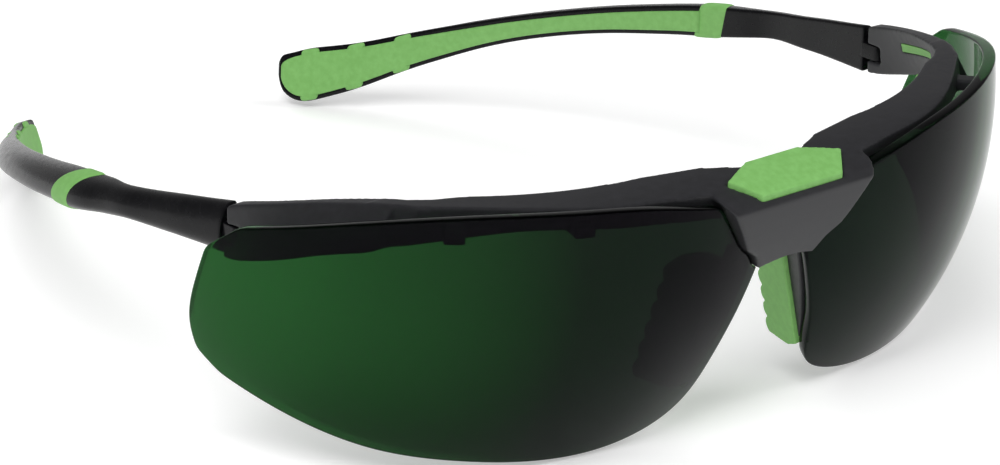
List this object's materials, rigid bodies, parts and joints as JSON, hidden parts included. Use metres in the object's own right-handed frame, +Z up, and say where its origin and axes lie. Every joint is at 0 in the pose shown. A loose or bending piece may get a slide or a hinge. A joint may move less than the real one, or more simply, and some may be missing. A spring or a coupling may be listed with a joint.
{
  "type": "welding spectacles",
  "caption": "Wrap-around eye protectors for welding: tinted lenses on a vented brow frame with soft pads and folding temples.",
  "frame": {"origin": "centre of the footprint, on the surface the spectacles rest on", "axes": "+Z up, the lenses face -Y, the temples run back along +Y, +X is the wearer's left"},
  "size_m": [0.1558, 0.1749, 0.0463],
  "materials": {
    "frame_grey": "fine matte texture",
    "arm_black": "semi-gloss",
    "soft_green": "matte soft-touch elastomer",
    "lens_green": "polished dark welding tint",
    "screw_steel": "plain turned"
  },
  "bodies": {
    "front": {"brow_frame": "frame_grey", "brow_pad": "soft_green", "lens_left": "lens_green", "brow_liner_left": "soft_green", "end_insert_left": "soft_green", "nose_leg_left": "frame_grey", "nose_pad_left": "soft_green", "hinge_screw_left": "screw_steel", "lens_right": "lens_green", "brow_liner_right": "soft_green", "end_insert_right": "soft_green", "nose_leg_right": "frame_grey", "nose_pad_right": "soft_green", "hinge_screw_right": "screw_steel"},
    "temple_left": {"temple_arm_left": "arm_black", "temple_band_left": "soft_green", "temple_grip_left": "soft_green"},
    "temple_right": {"temple_arm_right": "arm_black", "temple_band_right": "soft_green", "temple_grip_right": "soft_green"}
  },
  "joints": [
    {"name": "temple_left_fold", "type": "hinge", "parent": "front", "child": "temple_left", "pos_m": [0.0686, -0.03312, 0.03453], "axis": [0, 0, 1], "range_deg": [0, 72]},
    {"name": "temple_right_fold", "type": "hinge", "parent": "front", "child": "temple_right", "pos_m": [-0.0686, -0.03312, 0.03453], "axis": [0, 0, -1], "range_deg": [0, 82]}
  ]
}
